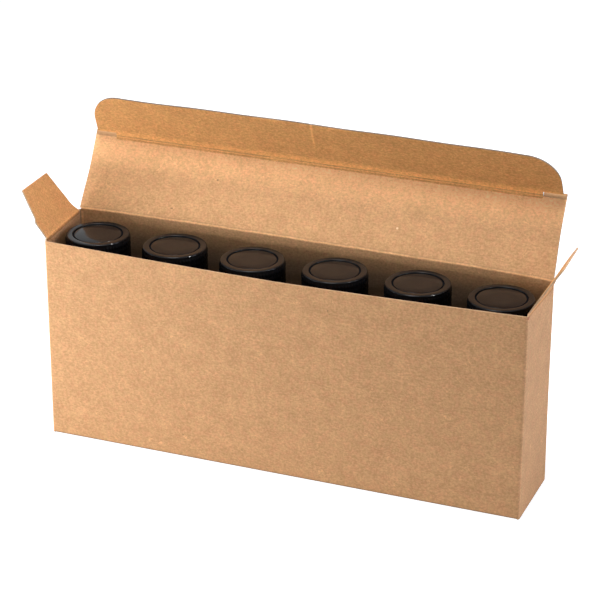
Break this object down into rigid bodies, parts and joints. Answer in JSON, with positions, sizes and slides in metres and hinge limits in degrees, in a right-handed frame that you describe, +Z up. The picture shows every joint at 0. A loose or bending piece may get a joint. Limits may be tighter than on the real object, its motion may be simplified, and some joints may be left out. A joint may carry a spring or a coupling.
{
  "type": "vial box",
  "caption": "Narrow kraft paperboard carton with a tuck-in lid standing open, two dust flaps, and a row of glass vials with black screw caps.",
  "frame": {"origin": "centre of the carton's base, on the surface it stands on", "axes": "+X along the carton, -Y out of the front panel, +Z up"},
  "size_m": [0.1789, 0.0403, 0.1067],
  "materials": {
    "kraft_board": "uncoated brown kraft paperboard, fine fibres and faint specks",
    "amber_glass": "clear amber glass, smooth",
    "black_plastic": "black moulded plastic, glossy top and ribbed skirt",
    "white_liner": "white foam liner, matt"
  },
  "bodies": {
    "carton": {"carton_body": "kraft_board", "vial_1": "amber_glass", "vial_2": "amber_glass", "vial_3": "amber_glass", "vial_4": "amber_glass", "vial_5": "amber_glass", "vial_6": "amber_glass"},
    "lid": {"lid_panel": "kraft_board"},
    "tuck": {"tuck_flap": "kraft_board"},
    "dust_left": {"dust_flap_left": "kraft_board"},
    "dust_right": {"dust_flap_right": "kraft_board"},
    "cap_1": {"screw_cap_1": "black_plastic", "cap_liner_1": "white_liner"},
    "cap_2": {"screw_cap_2": "black_plastic", "cap_liner_2": "white_liner"},
    "cap_3": {"screw_cap_3": "black_plastic", "cap_liner_3": "white_liner"},
    "cap_4": {"screw_cap_4": "black_plastic", "cap_liner_4": "white_liner"},
    "cap_5": {"screw_cap_5": "black_plastic", "cap_liner_5": "white_liner"},
    "cap_6": {"screw_cap_6": "black_plastic", "cap_liner_6": "white_liner"}
  },
  "joints": [
    {"name": "lid_hinge", "type": "hinge", "parent": "carton", "child": "lid", "pos_m": [0, 0.01305, 0.0691], "axis": [-1, 0, 0], "range_deg": [-119.3, 59.5]},
    {"name": "tuck_hinge", "type": "hinge", "parent": "lid", "child": "tuck", "pos_m": [0, 0.02599, 0.09107], "axis": [1, 0, 0], "range_deg": [-53, 39]},
    {"name": "dust_left_hinge", "type": "hinge", "parent": "carton", "child": "dust_left", "pos_m": [-0.07975, 0, 0.0685], "axis": [0, -1, 0], "range_deg": [-128, 52]},
    {"name": "dust_right_hinge", "type": "hinge", "parent": "carton", "child": "dust_right", "pos_m": [0.07975, 0, 0.0685], "axis": [0, 1, 0], "range_deg": [-120.8, 59.2]},
    {"name": "cap_1_turn", "type": "hinge", "parent": "carton", "child": "cap_1", "pos_m": [-0.0679, 0.0007, 0.0517], "axis": [0, 0, 1], "range_deg": [0, 540]},
    {"name": "cap_2_turn", "type": "hinge", "parent": "carton", "child": "cap_2", "pos_m": [-0.04074, 0.00051, 0.0517], "axis": [0, 0, 1], "range_deg": [0, 540]},
    {"name": "cap_3_turn", "type": "hinge", "parent": "carton", "child": "cap_3", "pos_m": [-0.01358, -0.0006, 0.0517], "axis": [0, 0, 1], "range_deg": [0, 540]},
    {"name": "cap_4_turn", "type": "hinge", "parent": "carton", "child": "cap_4", "pos_m": [0.01358, 0.00057, 0.0517], "axis": [0, 0, 1], "range_deg": [0, 540]},
    {"name": "cap_5_turn", "type": "hinge", "parent": "carton", "child": "cap_5", "pos_m": [0.04074, 0.0007, 0.0517], "axis": [0, 0, 1], "range_deg": [0, 540]},
    {"name": "cap_6_turn", "type": "hinge", "parent": "carton", "child": "cap_6", "pos_m": [0.0679, -0.0006, 0.0517], "axis": [0, 0, 1], "range_deg": [0, 540]}
  ]
}
